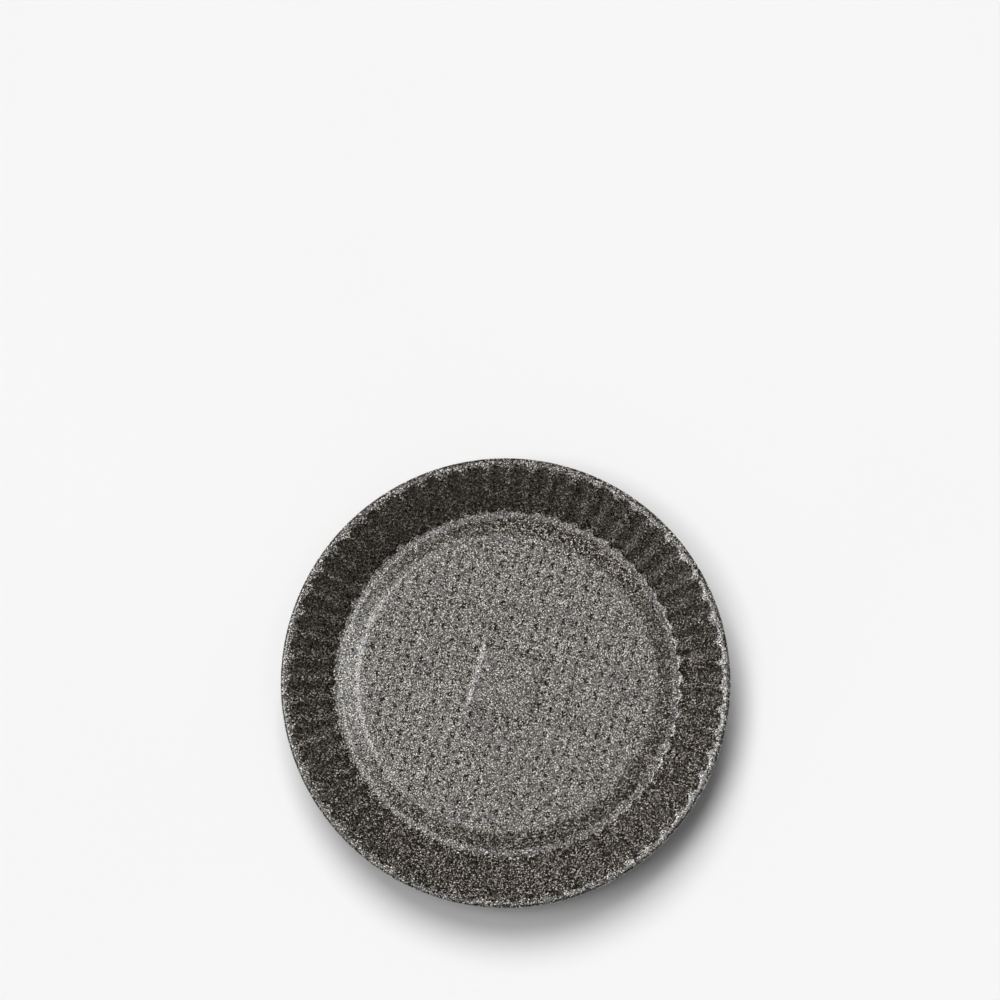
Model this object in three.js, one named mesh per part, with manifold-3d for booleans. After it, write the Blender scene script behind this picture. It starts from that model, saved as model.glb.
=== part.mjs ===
// Fluted tart pan: a fluted ring with a wired, rolled rim, and a loose pressed base that lies on its lip.
// Millimetres, +Z up. The origin is the centre of the foot, on the surface the pan stands on.
import * as THREE from "three";
import { mergeVertices } from "three/addons/utils/BufferGeometryUtils.js";
import Module from "manifold-3d";

// Driving dimensions
const RIM_RADIUS = 140;
const HEIGHT = 40;
const SHEET = 0.6;
const CLEARANCE = 0.3;

// Ring: wall, flutes and lip
const WALL_LEAN = THREE.MathUtils.degToRad(32.7);
const FLUTES = 60;
const FLUTE_DEPTH = 2.9;
const RIDGE_SHARE = 0.6;
const RIDGE_ROUNDING = 0.12;
const RIDGE_ANGLE = THREE.MathUtils.degToRad(-1);
const FOOT_BEND = 3;
const FOOT_FLUTING = 0.25;
const RIM_FLUTING = 1.2;
const LIP_WIDTH = 6;

// Rim: a rounded shoulder from the wall up to the crest, and a roll around the wire
const RIM_WIDTH = 6.3;
const SHOULDER_DROP = 1.1;
const CURL_RADIUS = 1.7;
const ROLL_WIDTH = 5.2;
const ROLL_HEIGHT = 4.2;
const WIRE_RADIUS = 1;

// Base plate: flange, bevel, plateau and square pad
const FLANGE_WIDTH = 3.1;
const BEVEL_WIDTH = 9.8;
const PLATEAU_RISE = 3;
const PAD_SIDE = 43.6;
const PAD_RISE = 0.5;
const PAD_BEVEL = 2.6;
const PAD_TURN = THREE.MathUtils.degToRad(-16.2);

// Fineness of the facets
const COLUMNS_PER_FLUTE = 4;
const PLATE_SEGMENTS = 120;
const WIRE_SEGMENTS = 120;
const WIRE_SIDES = 8;

// Places that follow from the driving dimensions
const wallUp = new THREE.Vector2(Math.sin(WALL_LEAN), Math.cos(WALL_LEAN));
const wallTop = new THREE.Vector2(RIM_RADIUS - RIM_WIDTH, HEIGHT - SHOULDER_DROP);
const crestRadius = RIM_RADIUS - CURL_RADIUS;

// The wire lies in the roll, a clearance away from the sheet at its top and at its outer edge.
const wireInset = SHEET + CLEARANCE + WIRE_RADIUS;
const wireCentre = new THREE.Vector2(RIM_RADIUS - wireInset, HEIGHT - wireInset);

// The wall's inner face meets the plane of the lip's top at this radius.
const footRadius = wallTop.x - (wallTop.y - SHEET) * Math.tan(WALL_LEAN);

// The foot turns from level to the wall's lean, and starts and ends this far from the two lines' corner.
const bendReach = FOOT_BEND * Math.tan((Math.PI / 2 - WALL_LEAN) / 2);
const bendStart = footRadius - bendReach;
const plateRadius = bendStart - FLUTE_DEPTH * RIDGE_SHARE * FOOT_FLUTING - CLEARANCE;
const plateUnderside = SHEET + CLEARANCE;
const plateauRadius = plateRadius - FLANGE_WIDTH - BEVEL_WIDTH;
const lipInnerRadius = bendStart - LIP_WIDTH;

const wasm = await Module();
wasm.setup();

// A point of the curl at the rim's edge, at an angle up from the outward direction.
function onCurl(radius, height, degrees) {
  const angle = THREE.MathUtils.degToRad(degrees);
  return new THREE.Vector2(crestRadius + radius * Math.cos(angle), height + radius * Math.sin(angle));
}

// The flutes are shallow arcs that bulge outward and meet in narrow, rounded ridges on the inside.
// This is how far out of the plain wall they are, at an angle measured from a ridge.
function fluteOffset(turn) {
  const flute = (turn * FLUTES) / (2 * Math.PI);
  const fromRidge = 2 * Math.abs(flute - Math.round(flute));
  const arc = (share) => 1 - (1 - Math.hypot(share, RIDGE_ROUNDING)) ** 2;
  const rise = (arc(fromRidge) - arc(0)) / (arc(1) - arc(0));
  return FLUTE_DEPTH * (rise - RIDGE_SHARE);
}

// One face of the ring from the lip's edge up to the end of the roll, set back from the food side.
// Each point has its place in the section and its share of the flutes' depth.
function ringFace(setBack) {
  const away = new THREE.Vector2(wallUp.y, -wallUp.x).multiplyScalar(setBack);
  const level = SHEET - setBack;
  const corner = footRadius + away.x + (level - SHEET - away.y) * Math.tan(WALL_LEAN);
  const reach = (FOOT_BEND + setBack) * Math.tan((Math.PI / 2 - WALL_LEAN) / 2);
  const wallFoot = wallUp.clone().multiplyScalar(reach).add(new THREE.Vector2(corner, level));
  const top = wallTop.clone().add(away);
  const crest = new THREE.Vector2(crestRadius, HEIGHT - setBack);
  const shoulder = new THREE.Vector2(top.x + (crest.y - top.y) * Math.tan(WALL_LEAN), crest.y);
  const curl = CURL_RADIUS - setBack;
  const highCentre = HEIGHT - CURL_RADIUS;
  const lowCentre = HEIGHT - ROLL_HEIGHT + CURL_RADIUS;
  return [
    { at: new THREE.Vector2(lipInnerRadius, level), fluting: 0 },
    { at: new THREE.Vector2(corner - reach, level), fluting: FOOT_FLUTING },
    { at: wallFoot, fluting: 1 },
    { at: top, fluting: RIM_FLUTING },
    { at: new THREE.QuadraticBezierCurve(top, shoulder, crest).getPoint(0.5), fluting: RIM_FLUTING / 2 },
    { at: crest, fluting: 0 },
    { at: onCurl(curl, highCentre, 45), fluting: 0 },
    { at: onCurl(curl, highCentre, 0), fluting: 0 },
    { at: onCurl(curl, lowCentre, 0), fluting: 0 },
    { at: onCurl(curl, lowCentre, -45), fluting: 0 },
    { at: onCurl(curl, lowCentre, -90), fluting: 0 },
    { at: new THREE.Vector2(RIM_RADIUS - ROLL_WIDTH, lowCentre - curl), fluting: 0 },
  ];
}

// The section goes up the food side, round the rim and back down the outside. Each column is a copy of it.
function makeRing() {
  const section = [...ringFace(0), ...ringFace(SHEET).reverse()];
  const columns = FLUTES * COLUMNS_PER_FLUTE;
  const positions = [];
  const index = [];
  for (let column = 0; column < columns; column++) {
    const turn = (column / columns) * 2 * Math.PI;
    const wave = fluteOffset(turn);
    for (const { at, fluting } of section) {
      const radius = at.x + wave * fluting;
      const angle = turn + RIDGE_ANGLE;
      positions.push(radius * Math.cos(angle), radius * Math.sin(angle), at.y);
    }
    const here = column * section.length;
    const next = ((column + 1) % columns) * section.length;
    for (let row = 0; row < section.length; row++) {
      const after = (row + 1) % section.length;
      index.push(here + row, here + after, next + row);
      index.push(next + row, here + after, next + after);
    }
  }
  const geometry = new THREE.BufferGeometry();
  geometry.setAttribute("position", new THREE.Float32BufferAttribute(positions, 3));
  geometry.setIndex(index);
  return geometry;
}

function toSolid(geometry) {
  const bare = geometry.clone().deleteAttribute("normal").deleteAttribute("uv");
  const merged = mergeVertices(bare, 1e-3);
  const mesh = new wasm.Mesh({
    numProp: 3,
    vertProperties: new Float32Array(merged.attributes.position.array),
    triVerts: new Uint32Array(merged.index.array),
  });
  return new wasm.Manifold(mesh);
}

function toGeometry(solid) {
  const mesh = solid.getMesh();
  const geometry = new THREE.BufferGeometry();
  geometry.setAttribute("position", new THREE.BufferAttribute(new Float32Array(mesh.vertProperties), 3));
  geometry.setIndex(new THREE.BufferAttribute(new Uint32Array(mesh.triVerts), 1));
  geometry.computeVertexNormals();
  return geometry;
}

// A square block with sloping sides that stands on the plate's middle, its lower edge at the given height.
function padBlock(bottom, side) {
  const cornerAtTop = (side / 2 - PAD_BEVEL) * Math.SQRT2;
  const cornerAtFoot = (side / 2) * Math.SQRT2;
  return new THREE.CylinderGeometry(cornerAtTop, cornerAtFoot, PAD_RISE, 4, 1)
    .rotateY(Math.PI / 4)
    .rotateX(Math.PI / 2)
    .rotateZ(PAD_TURN)
    .translate(0, 0, bottom + PAD_RISE / 2);
}

// The pressed plate: the turned sheet, with the square pad raised on top and hollowed below.
function makePlate() {
  const under = [
    [plateauRadius, plateUnderside + PLATEAU_RISE],
    [plateauRadius + BEVEL_WIDTH, plateUnderside],
    [plateRadius, plateUnderside],
  ];
  const over = under.map(([radius, z]) => [radius, z + SHEET]).reverse();
  const middle = plateUnderside + PLATEAU_RISE;
  const outline = [[0, middle], ...under, ...over, [0, middle + SHEET]];
  const turned = new THREE.LatheGeometry(
    outline.map(([radius, z]) => new THREE.Vector2(radius, z)),
    PLATE_SEGMENTS,
  ).rotateX(Math.PI / 2);
  const raised = toSolid(padBlock(middle + SHEET, PAD_SIDE));
  const hollowed = toSolid(padBlock(middle, PAD_SIDE));
  return toGeometry(toSolid(turned).add(raised).subtract(hollowed));
}

function makeWire() {
  const wire = new THREE.TorusGeometry(wireCentre.x, WIRE_RADIUS, WIRE_SIDES, WIRE_SEGMENTS);
  return wire.translate(0, 0, wireCentre.y);
}

function piece(name, geometry, look) {
  const mesh = new THREE.Mesh(geometry, new THREE.MeshStandardMaterial(look));
  mesh.name = name;
  return mesh;
}

const pan = new THREE.Group();
pan.name = "fluted_tart_pan";
pan.add(piece("fluted_ring", makeRing(), { color: 0x4e4846, roughness: 0.45, metalness: 0.2 }));
pan.add(piece("loose_base", makePlate(), { color: 0x7d7a75, roughness: 0.5, metalness: 0.1 }));
pan.add(piece("rim_wire", makeWire(), { color: 0x9a9a9a, roughness: 0.35, metalness: 0.9 }));

export default pan;
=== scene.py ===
"""Looks of a fluted tart pan: a fluted ring with a rolled rim, and a loose base with a grid of dimples."""
import math

import bpy
import numpy as np
from mathutils import Matrix, Vector
from mathutils.geometry import delaunay_2d_cdt


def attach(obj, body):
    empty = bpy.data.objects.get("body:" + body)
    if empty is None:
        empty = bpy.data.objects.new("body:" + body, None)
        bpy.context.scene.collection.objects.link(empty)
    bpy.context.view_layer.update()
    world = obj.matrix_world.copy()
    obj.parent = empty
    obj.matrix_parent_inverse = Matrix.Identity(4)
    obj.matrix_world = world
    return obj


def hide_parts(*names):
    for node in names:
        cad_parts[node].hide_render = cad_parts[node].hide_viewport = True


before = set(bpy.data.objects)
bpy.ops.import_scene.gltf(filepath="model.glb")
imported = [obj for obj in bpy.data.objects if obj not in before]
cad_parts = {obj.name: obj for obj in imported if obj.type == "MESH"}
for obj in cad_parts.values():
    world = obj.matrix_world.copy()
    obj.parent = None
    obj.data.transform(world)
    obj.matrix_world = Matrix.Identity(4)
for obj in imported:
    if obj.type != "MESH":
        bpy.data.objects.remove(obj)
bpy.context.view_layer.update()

# Sizes in millimetres, the same as the solid part's
MM = 0.001
RIM_RADIUS = 140
HEIGHT = 40
SHEET = 0.6
CLEARANCE = 0.3
WALL_LEAN = math.radians(32.7)
FLUTES = 60
FLUTE_DEPTH = 2.9
RIDGE_SHARE = 0.6
RIDGE_ROUNDING = 0.12
RIDGE_ANGLE = math.radians(-1)
FOOT_BEND = 3
FOOT_FLUTING = 0.25
RIM_FLUTING = 1.2
LIP_WIDTH = 6
RIM_WIDTH = 6.3
SHOULDER_DROP = 1.1
CURL_RADIUS = 1.7
ROLL_WIDTH = 5.2
ROLL_HEIGHT = 4.2
WIRE_RADIUS = 1
FLANGE_WIDTH = 3.1
BEVEL_WIDTH = 9.8
PLATEAU_RISE = 3
PAD_SIDE = 43.6
PAD_RISE = 0.5
PAD_BEVEL = 2.6
PAD_TURN = math.radians(-16.2)

# Sizes that only the looks have
DIMPLE_PITCH = 7.94
DIMPLE_SPAN = 89
DIMPLE_RADIUS = 2.2
DIMPLE_DEPTH = 0.6
DIMPLE_FLOOR = 0.2
EDGE_ROUNDING = 2.5
FOOT_ROUNDING = 0.35
PAD_EASE = 0.2

# The pad's foot is drawn in by this much, which leaves room for the dimples beside it.
PAD_INSET = 0.4

# A narrow level strip round the pad and each dimple keeps the plateau's shading flat.
SUPPORT = 0.08

# Fineness of the meshes
COLUMNS_PER_FLUTE = 16
FOOT_STEPS = 8
SHOULDER_STEPS = 12
ROLL_STEP_DEGREES = 10
PLATE_SEGMENTS = 240
BEVEL_STEPS = 32
DIMPLE_SEGMENTS = 20
DIMPLE_ROWS = 9
PAD_STEPS = 20
WIRE_SIDES = 16

# Stage, in millimetres
FLOOR_REACH = 4000
CAMERA_PLACE = (147, -94, 6000)
CAMERA_AIM = (-3.4, 113.9, HEIGHT)

# Places that follow from the sizes
wall_out = Vector((math.cos(WALL_LEAN), -math.sin(WALL_LEAN)))
wall_top = Vector((RIM_RADIUS - RIM_WIDTH, HEIGHT - SHOULDER_DROP))
crest_radius = RIM_RADIUS - CURL_RADIUS
wire_inset = SHEET + CLEARANCE + WIRE_RADIUS
foot_radius = wall_top.x - (wall_top.y - SHEET) * math.tan(WALL_LEAN)
bend_angle = math.pi / 2 - WALL_LEAN
bend_start = foot_radius - FOOT_BEND * math.tan(bend_angle / 2)
lip_inner_radius = bend_start - LIP_WIDTH
plate_radius = bend_start - FLUTE_DEPTH * RIDGE_SHARE * FOOT_FLUTING - CLEARANCE
flange_top = SHEET + CLEARANCE + SHEET
bevel_foot = plate_radius - FLANGE_WIDTH
plateau_radius = bevel_foot - BEVEL_WIDTH
plateau_top = flange_top + PLATEAU_RISE


def smooth_step(t):
    """Rises from 0 to 1, level at both ends."""
    t = min(max(t, 0), 1)
    return t * t * (3 - 2 * t)


def rounded_ramp(t, ease):
    """Rises evenly from 0 to 1, its start and its end rounded over a share of the way."""
    slope = 1 / (1 - ease)
    if t < ease:
        return slope * t * t / (2 * ease)
    if t > 1 - ease:
        return 1 - slope * (1 - t) ** 2 / (2 * ease)
    return slope * (t - ease / 2)


def full_turn(count):
    """Angles of a whole turn, in even steps."""
    return np.arange(count) * 2 * math.pi / count


def strip(lower, upper):
    """Quads between two closed rows of the same length, given as lists of point numbers."""
    count = len(lower)
    return [
        (lower[i], lower[(i + 1) % count], upper[(i + 1) % count], upper[i])
        for i in range(count)
    ]


def mesh_object(name, points, faces, materials, face_material=None, sharp_degrees=40):
    """A smooth-shaded mesh from points in millimetres, sharp where faces meet at more than the angle."""
    mesh = bpy.data.meshes.new(name)
    mesh.from_pydata((np.asarray(points) * MM).tolist(), [], faces)
    for material in materials:
        mesh.materials.append(material)
    if face_material is not None:
        mesh.polygons.foreach_set("material_index", face_material)
    mesh.shade_smooth()
    mesh.set_sharp_from_angle(angle=math.radians(sharp_degrees))
    made = bpy.data.objects.new(name, mesh)
    bpy.context.collection.objects.link(made)
    return made


# Ring

def flute_offset(turn):
    """How far the flutes are out of the plain wall: arcs that bulge outward and meet in narrow ridges."""
    flute = turn * FLUTES / (2 * math.pi)
    from_ridge = 2 * np.abs(flute - np.round(flute))

    def arc(share):
        return 1 - (1 - np.hypot(share, RIDGE_ROUNDING)) ** 2

    rise = (arc(from_ridge) - arc(0)) / (arc(1) - arc(0))
    return FLUTE_DEPTH * (rise - RIDGE_SHARE)


def ring_face(set_back):
    """One face of the ring's section, from the lip's edge to the end of the roll.

    Each row has its radius and height, and its share of the flutes' depth.
    """
    face = [(lip_inner_radius, SHEET - set_back, 0)]

    # Foot
    bend_centre = Vector((bend_start, SHEET + FOOT_BEND))
    for step in range(FOOT_STEPS + 1):
        t = step / FOOT_STEPS
        turn = bend_angle * t
        at = bend_centre + (FOOT_BEND + set_back) * Vector((math.sin(turn), -math.cos(turn)))
        share = FOOT_FLUTING + (1 - FOOT_FLUTING) * smooth_step(t)
        face.append((at.x, at.y, share))

    # Shoulder, from the top of the wall to the crest
    top = wall_top + set_back * wall_out
    crest = Vector((crest_radius, HEIGHT - set_back))
    corner = Vector((top.x + (crest.y - top.y) * math.tan(WALL_LEAN), crest.y))
    for step in range(SHOULDER_STEPS + 1):
        t = step / SHOULDER_STEPS
        at = (1 - t) ** 2 * top + 2 * t * (1 - t) * corner + t ** 2 * crest
        face.append((at.x, at.y, RIM_FLUTING * (1 - t)))

    # Roll: the upper and the lower bend of the curl, and its level end
    curl = CURL_RADIUS - set_back
    high_centre = HEIGHT - CURL_RADIUS
    low_centre = HEIGHT - ROLL_HEIGHT + CURL_RADIUS
    for centre, first, last in ((high_centre, 90 - ROLL_STEP_DEGREES, 0), (low_centre, 0, -90)):
        for degrees in range(first, last - 1, -ROLL_STEP_DEGREES):
            turn = math.radians(degrees)
            face.append((crest_radius + curl * math.cos(turn), centre + curl * math.sin(turn), 0))
    face.append((RIM_RADIUS - ROLL_WIDTH, low_centre - curl, 0))
    return face


def make_ring(inside, outside):
    """The ring: its section goes up the food side and back down the outside, once for each column."""
    food_side = ring_face(0)
    section = np.array(food_side + ring_face(SHEET)[::-1])
    columns = FLUTES * COLUMNS_PER_FLUTE
    turn = full_turn(columns)
    wave = flute_offset(turn)
    radius = section[None, :, 0] + wave[:, None] * section[None, :, 2]
    angle = (turn + RIDGE_ANGLE)[:, None]
    height = np.broadcast_to(section[None, :, 1], radius.shape)
    points = np.stack([radius * np.cos(angle), radius * np.sin(angle), height], axis=2).reshape(-1, 3)
    rows = len(section)
    here = np.arange(columns)[:, None] * rows
    after = (np.arange(columns) + 1)[:, None] % columns * rows
    low = np.arange(rows)[None, :]
    high = (low + 1) % rows
    faces = np.stack([here + low, here + high, after + high, after + low], axis=2).reshape(-1, 4)
    row_material = np.where(np.arange(rows) < len(food_side) - 1, 0, 1)
    face_material = np.tile(row_material, columns)
    return mesh_object("ring_look", points, faces.tolist(), [inside, outside], face_material)


# Base plate

def bevel_height(radius):
    """Height above the flange of the plate's top, across the bevel with its rounded edge and foot."""
    slope = PLATEAU_RISE / BEVEL_WIDTH
    from_edge = radius - plateau_radius
    to_foot = bevel_foot - radius
    if from_edge < EDGE_ROUNDING:
        return PLATEAU_RISE - slope * (from_edge + EDGE_ROUNDING) ** 2 / (4 * EDGE_ROUNDING)
    if to_foot < FOOT_ROUNDING:
        return slope * (to_foot + FOOT_ROUNDING) ** 2 / (4 * FOOT_ROUNDING)
    return slope * to_foot


def dimple_drop(radius):
    """Depth of a dimple at a distance from its middle: a level floor and a rounded side."""
    side = (radius - DIMPLE_FLOOR) / (DIMPLE_RADIUS - DIMPLE_FLOOR)
    return DIMPLE_DEPTH * (1 - smooth_step(side))


def dimple_places():
    """Middles of the dimples: a square grid inside the plateau, clear of the pad."""
    reach = int(DIMPLE_SPAN / DIMPLE_PITCH)
    places = []
    for column in range(-reach, reach + 1):
        for row in range(-reach, reach + 1):
            x = column * DIMPLE_PITCH
            y = row * DIMPLE_PITCH
            if math.hypot(x, y) <= DIMPLE_SPAN and max(abs(x), abs(y)) > PAD_SIDE / 2:
                places.append((x, y))
    return places


def circle(radius, count, x=0, y=0):
    """Points of a circle around a place."""
    turn = full_turn(count)
    return np.stack([x + radius * np.cos(turn), y + radius * np.sin(turn)], axis=1)


def square(half):
    """A square's points, with some beside each corner, so that its sides are shaded evenly."""
    along = [share * half for share in (-1, -0.97, -0.9, 0, 0.9, 0.97)]
    right = [(half, a) for a in along]
    far = [(-a, half) for a in along]
    left = [(-half, -a) for a in along]
    near = [(a, -half) for a in along]
    return right + far + left + near


def flat_between(points, loops, is_open):
    """Triangles of the level face that the loops of point numbers bound, where is_open allows them."""
    loop_points = [i for loop in loops for i in loop]
    number = {point: i for i, point in enumerate(loop_points)}
    flat = [Vector(points[i][:2]) for i in loop_points]
    edges = [
        (number[loop[i]], number[loop[(i + 1) % len(loop)]])
        for loop in loops
        for i in range(len(loop))
    ]
    placed, _, triangles, came_from, _, _ = delaunay_2d_cdt(flat, edges, [], 0, 1e-6)
    faces = []
    for triangle in triangles:
        centre = sum((placed[i] for i in triangle), Vector((0, 0))) / 3
        if is_open(centre):
            faces.append(tuple(loop_points[came_from[i][0]] for i in triangle))
    return faces


def plate_top():
    """The top of the plate as points and faces, with the point numbers of its outer edge."""
    points = []
    faces = []

    def add_row(flat, height):
        start = len(points)
        points.extend((x, y, height) for x, y in flat)
        return list(range(start, len(points)))

    plateau_edge = add_row(circle(plateau_radius - EDGE_ROUNDING, PLATE_SEGMENTS), plateau_top)
    pad_half = PAD_SIDE / 2 - PAD_INSET
    pad_edge = add_row(square(pad_half + SUPPORT), plateau_top)
    loops = [plateau_edge, pad_edge]

    # Dimples
    dimples = dimple_places()
    for x, y in dimples:
        outer = add_row(circle(DIMPLE_RADIUS + SUPPORT, DIMPLE_SEGMENTS, x, y), plateau_top)
        loops.append(outer)
        for radius in np.linspace(DIMPLE_RADIUS, DIMPLE_FLOOR, DIMPLE_ROWS):
            inner = add_row(circle(radius, DIMPLE_SEGMENTS, x, y), plateau_top - dimple_drop(radius))
            faces.extend(strip(outer, inner))
            outer = inner
        faces.append(tuple(outer))

    # Level of the plateau, between its edge, the pad and the dimples
    middles = np.array(dimples)
    dimple_reach = (DIMPLE_RADIUS + SUPPORT) * math.cos(math.pi / DIMPLE_SEGMENTS)

    def is_level(centre):
        in_pad = max(abs(centre.x), abs(centre.y)) < pad_half + SUPPORT
        in_dimple = np.hypot(*(middles - centre).T).min() < dimple_reach
        return not in_pad and not in_dimple

    faces.extend(flat_between(points, loops, is_level))

    # Square pad
    pad_row = pad_edge
    for step in range(PAD_STEPS + 1):
        t = step / PAD_STEPS
        inner = add_row(square(pad_half - PAD_BEVEL * t), plateau_top + PAD_RISE * rounded_ramp(t, PAD_EASE))
        faces.extend(strip(pad_row, inner))
        pad_row = inner
    pad_top = add_row(square(pad_half - PAD_BEVEL - SUPPORT), plateau_top + PAD_RISE)
    faces.extend(strip(pad_row, pad_top))
    faces.append(tuple(pad_top))

    # Bevel and flange
    edge = plateau_edge
    bevel_rows = np.linspace(plateau_radius - EDGE_ROUNDING, bevel_foot + FOOT_ROUNDING, BEVEL_STEPS + 1)
    for radius in bevel_rows[1:]:
        outer = add_row(circle(radius, PLATE_SEGMENTS), flange_top + bevel_height(radius))
        faces.extend(strip(outer, edge))
        edge = outer
    outer = add_row(circle(plate_radius, PLATE_SEGMENTS), flange_top)
    faces.extend(strip(outer, edge))
    return np.array(points), faces, outer


def make_base(inside, outside):
    """The plate: its top, the same forms a sheet's thickness below, and the edge between them."""
    top, faces, edge = plate_top()
    cosine = math.cos(PAD_TURN)
    sine = math.sin(PAD_TURN)
    top[:, :2] = top[:, :2] @ np.array([[cosine, sine], [-sine, cosine]])
    below = top - np.array([0, 0, SHEET])
    count = len(top)
    under_faces = [tuple(i + count for i in reversed(face)) for face in faces]
    under_edge = [i + count for i in edge]
    side_faces = strip(under_edge, edge)
    face_material = [0] * len(faces) + [1] * (len(under_faces) + len(side_faces))
    points = np.concatenate([top, below])
    all_faces = faces + under_faces + side_faces
    return mesh_object("base_look", points, all_faces, [inside, outside], face_material)


def make_wire(steel):
    """The round wire in the roll of the rim."""
    turn = full_turn(PLATE_SEGMENTS)[:, None]
    around = full_turn(WIRE_SIDES)[None, :]
    radius = RIM_RADIUS - wire_inset + WIRE_RADIUS * np.cos(around)
    height = HEIGHT - wire_inset + WIRE_RADIUS * np.sin(around)
    height = np.broadcast_to(height, (PLATE_SEGMENTS, WIRE_SIDES))
    points = np.stack([radius * np.cos(turn), radius * np.sin(turn), height], axis=2).reshape(-1, 3)
    rings = np.arange(len(points)).reshape(-1, WIRE_SIDES).tolist()
    faces = [face for i, ring in enumerate(rings) for face in strip(rings[(i + 1) % len(rings)], ring)]
    return mesh_object("wire_look", points, faces, [steel])


# Materials

def add_node(tree, kind, inputs=(), **settings):
    """A node with its settings, and with its inputs linked to sockets or set to values."""
    made = tree.nodes.new(kind)
    for key, value in settings.items():
        setattr(made, key, value)
    for key, value in dict(inputs).items():
        if isinstance(value, bpy.types.NodeSocket):
            tree.links.new(value, made.inputs[key])
        else:
            made.inputs[key].default_value = value
    return made


def new_material(name):
    """A material with its node tree, its shader and the place on the piece that its pattern follows."""
    material = bpy.data.materials.new(name)
    material.use_nodes = True
    tree = material.node_tree
    shader = tree.nodes["Principled BSDF"]
    place = add_node(tree, "ShaderNodeTexCoord").outputs["Object"]
    return material, tree, shader, place


def colour_ramp(tree, factor, stops):
    """Colours blended along a factor, from stops of a place and a colour."""
    ramp = add_node(tree, "ShaderNodeValToRGB", {"Fac": factor})
    elements = ramp.color_ramp.elements
    while len(elements) < len(stops):
        elements.new(1)
    for element, (place, colour) in zip(elements, stops):
        element.position = place
        element.color = (*colour, 1)
    return ramp.outputs["Color"]


def linear(red, green, blue):
    """A colour given as 0 to 255, as the shader's light values."""
    values = [v / 255 for v in (red, green, blue)]
    return tuple(v / 12.92 if v <= 0.04045 else ((v + 0.055) / 1.055) ** 2.4 for v in values)


def speckled_coat(name, grain_size, pale_share, gloss_range):
    """Charcoal non-stick coat, dense with fine grains, a share of them pale and some of them glossy."""
    material, tree, shader, place = new_material(name)

    # The drops are sprayed from above, so they are drawn out along the steep wall.
    drawn_out = add_node(tree, "ShaderNodeVectorMath", {0: place, 1: (1, 1, 0.5)}, operation="MULTIPLY")
    grains = add_node(tree, "ShaderNodeTexVoronoi", {
        "Vector": drawn_out.outputs["Vector"],
        "Scale": 1 / (grain_size * MM),
    })
    grain = add_node(tree, "ShaderNodeSeparateColor", {"Color": grains.outputs["Color"]})
    colour = colour_ramp(tree, grain.outputs["Red"], [
        (0.00, linear(7, 6, 5)),
        (1 - 2.5 * pale_share, linear(20, 17, 15)),
        (1 - 1.5 * pale_share, linear(48, 43, 39)),
        (1 - 0.9 * pale_share, linear(140, 131, 120)),
        (1 - 0.5 * pale_share, linear(225, 217, 203)),
        (1.00, linear(250, 243, 230)),
    ])
    gloss = add_node(tree, "ShaderNodeMapRange", {
        "Value": grain.outputs["Green"],
        "From Min": 0.25,
        "From Max": 0.75,
        "To Min": 0.0,
        "To Max": gloss_range,
    })
    tree.links.new(colour, shader.inputs["Base Color"])
    tree.links.new(gloss.outputs["Result"], shader.inputs["Specular IOR Level"])
    shader.inputs["IOR"].default_value = 1.65
    shader.inputs["Roughness"].default_value = 0.31
    return material


def outer_lacquer():
    """Dark taupe-brown satin lacquer with a fine grain."""
    material, tree, shader, place = new_material("outer_lacquer")
    grain = add_node(tree, "ShaderNodeTexNoise", {"Vector": place, "Scale": 900, "Detail": 3})
    colour = colour_ramp(tree, grain.outputs["Fac"], [
        (0.30, linear(69, 64, 62)),
        (0.70, linear(88, 82, 80)),
    ])
    bump = add_node(tree, "ShaderNodeBump", {
        "Height": grain.outputs["Fac"],
        "Strength": 0.15,
        "Distance": 0.1 * MM,
    })
    tree.links.new(colour, shader.inputs["Base Color"])
    tree.links.new(bump.outputs["Normal"], shader.inputs["Normal"])
    shader.inputs["Roughness"].default_value = 0.42
    return material


def bare_steel():
    """Plain drawn steel, a little uneven in tone."""
    material, tree, shader, place = new_material("bare_steel")
    grain = add_node(tree, "ShaderNodeTexNoise", {"Vector": place, "Scale": 600, "Detail": 2})
    colour = colour_ramp(tree, grain.outputs["Fac"], [
        (0.3, linear(140, 140, 140)),
        (0.7, linear(170, 170, 170)),
    ])
    tree.links.new(colour, shader.inputs["Base Color"])
    shader.inputs["Metallic"].default_value = 1
    shader.inputs["Roughness"].default_value = 0.35
    return material


# Pieces

lacquer = outer_lacquer()
ring_coat = speckled_coat("ring_coat", grain_size=0.52, pale_share=0.14, gloss_range=1.6)
base_coat = speckled_coat("base_coat", grain_size=0.47, pale_share=0.16, gloss_range=1.54)

ring_look = make_ring(ring_coat, lacquer)
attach(ring_look, "ring")
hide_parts("fluted_ring")

base_look = make_base(base_coat, lacquer)
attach(base_look, "base")
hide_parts("loose_base")

wire_look = make_wire(bare_steel())
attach(wire_look, "ring")
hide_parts("rim_wire")


# Stage: white floor, soft studio light from the back and the left, camera above

def make_floor():
    """A wide white floor that keeps the pan's shadow."""
    material, tree, shader, place = new_material("white_floor")
    tone = add_node(tree, "ShaderNodeTexNoise", {"Vector": place, "Scale": 3})
    colour = colour_ramp(tree, tone.outputs["Fac"], [
        (0.3, (0.90, 0.90, 0.90)),
        (0.7, (0.91, 0.91, 0.91)),
    ])
    tree.links.new(colour, shader.inputs["Base Color"])
    shader.inputs["Roughness"].default_value = 0.9
    shader.inputs["Specular IOR Level"].default_value = 0.1
    signs = [(-1, -1), (1, -1), (1, 1), (-1, 1)]
    corners = [(x * FLOOR_REACH, y * FLOOR_REACH, 0) for x, y in signs]
    floor = mesh_object("floor", corners, [(0, 1, 2, 3)], [material])


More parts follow.
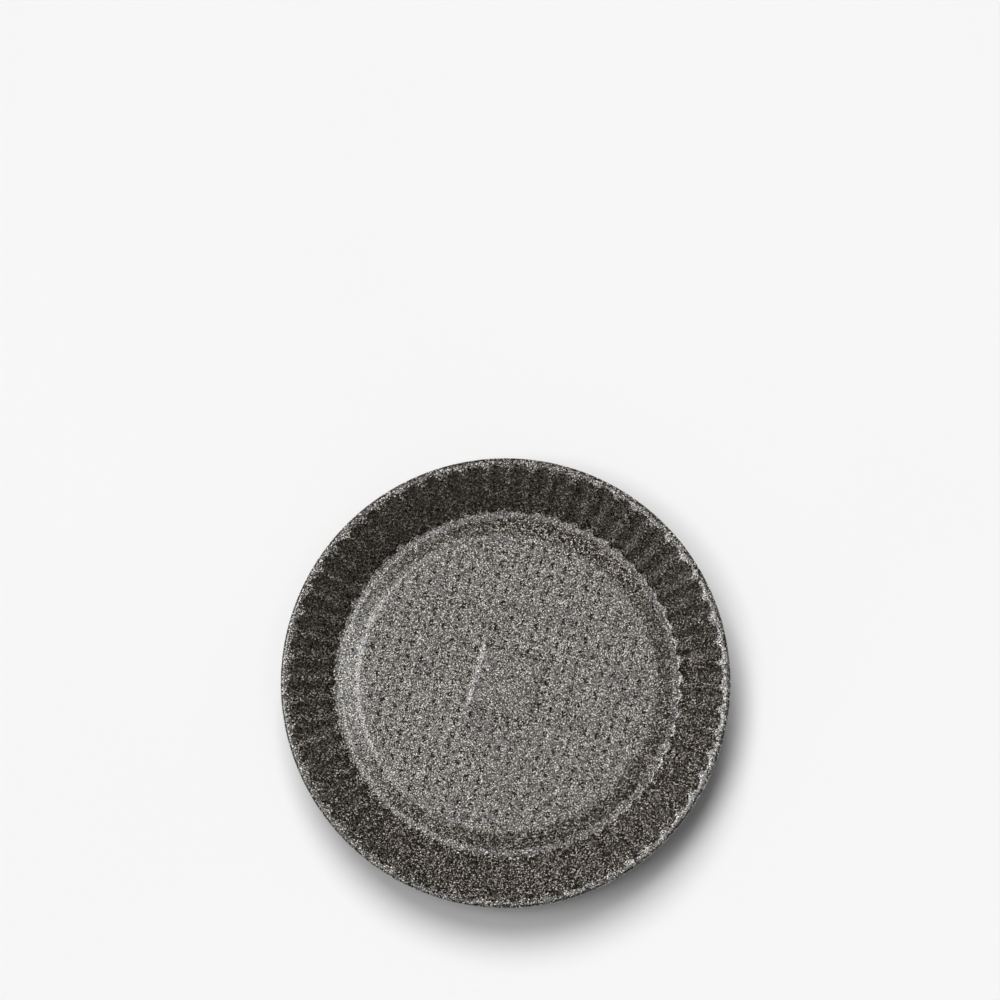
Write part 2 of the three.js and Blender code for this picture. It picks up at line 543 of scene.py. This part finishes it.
def make_lamp(name, towards, spread, strength, in_reflections=True, in_diffuse=True):
    """A soft round light far off in a direction: its width in degrees, and its light on a face turned to it.

    It can be left out of reflections, or be seen in reflections alone.
    """
    lamp = bpy.data.lights.new(name, "SUN")
    lamp.angle = math.radians(spread)
    lamp.energy = strength
    holder = bpy.data.objects.new(name, lamp)
    bpy.context.collection.objects.link(holder)
    holder.rotation_euler = Vector(towards).to_track_quat("Z", "Y").to_euler()
    holder.visible_glossy = in_reflections
    holder.visible_diffuse = in_diffuse


def make_world():
    """Weak even light from all sides, and a pale backdrop where the camera sees past the floor."""
    world = bpy.data.worlds.new("studio")
    bpy.context.scene.world = world
    world.use_nodes = True
    tree = world.node_tree
    background = tree.nodes["Background"]
    rays = add_node(tree, "ShaderNodeLightPath")
    strength = add_node(tree, "ShaderNodeMapRange", {
        "Value": rays.outputs["Is Camera Ray"],
        "To Min": 0.11,
        "To Max": 0.93,
    })
    tree.links.new(strength.outputs["Result"], background.inputs["Strength"])
    background.inputs["Color"].default_value = (1, 1, 1, 1)


def make_camera():
    """Above the pan and a little to the lower right of it, aimed so that the pan is low in the picture."""
    camera = bpy.data.cameras.new("camera")
    camera.sensor_width = 36
    camera.lens = 345
    holder = bpy.data.objects.new("camera", camera)
    bpy.context.collection.objects.link(holder)
    holder.location = Vector(CAMERA_PLACE) * MM
    back = (holder.location - Vector(CAMERA_AIM) * MM).normalized()
    right = Vector((0, 1, 0)).cross(back).normalized()
    up = back.cross(right)
    holder.rotation_euler = Matrix((right, up, back)).transposed().to_euler()
    bpy.context.scene.camera = holder


make_floor()
make_lamp("left_softbox", towards=(-0.335, 0.04, 1), spread=24, strength=0.88)
make_lamp("left_card", towards=(-0.85, 0.04, 1), spread=24, strength=0.34, in_diffuse=False)
make_lamp("right_softbox", towards=(0.28, 0.04, 1), spread=16, strength=0.11)
make_lamp("back_softbox", towards=(-0.15, 0.62, 1), spread=32, strength=2.31, in_reflections=False)
make_world()
make_camera()
bpy.context.scene.view_settings.view_transform = "Standard"
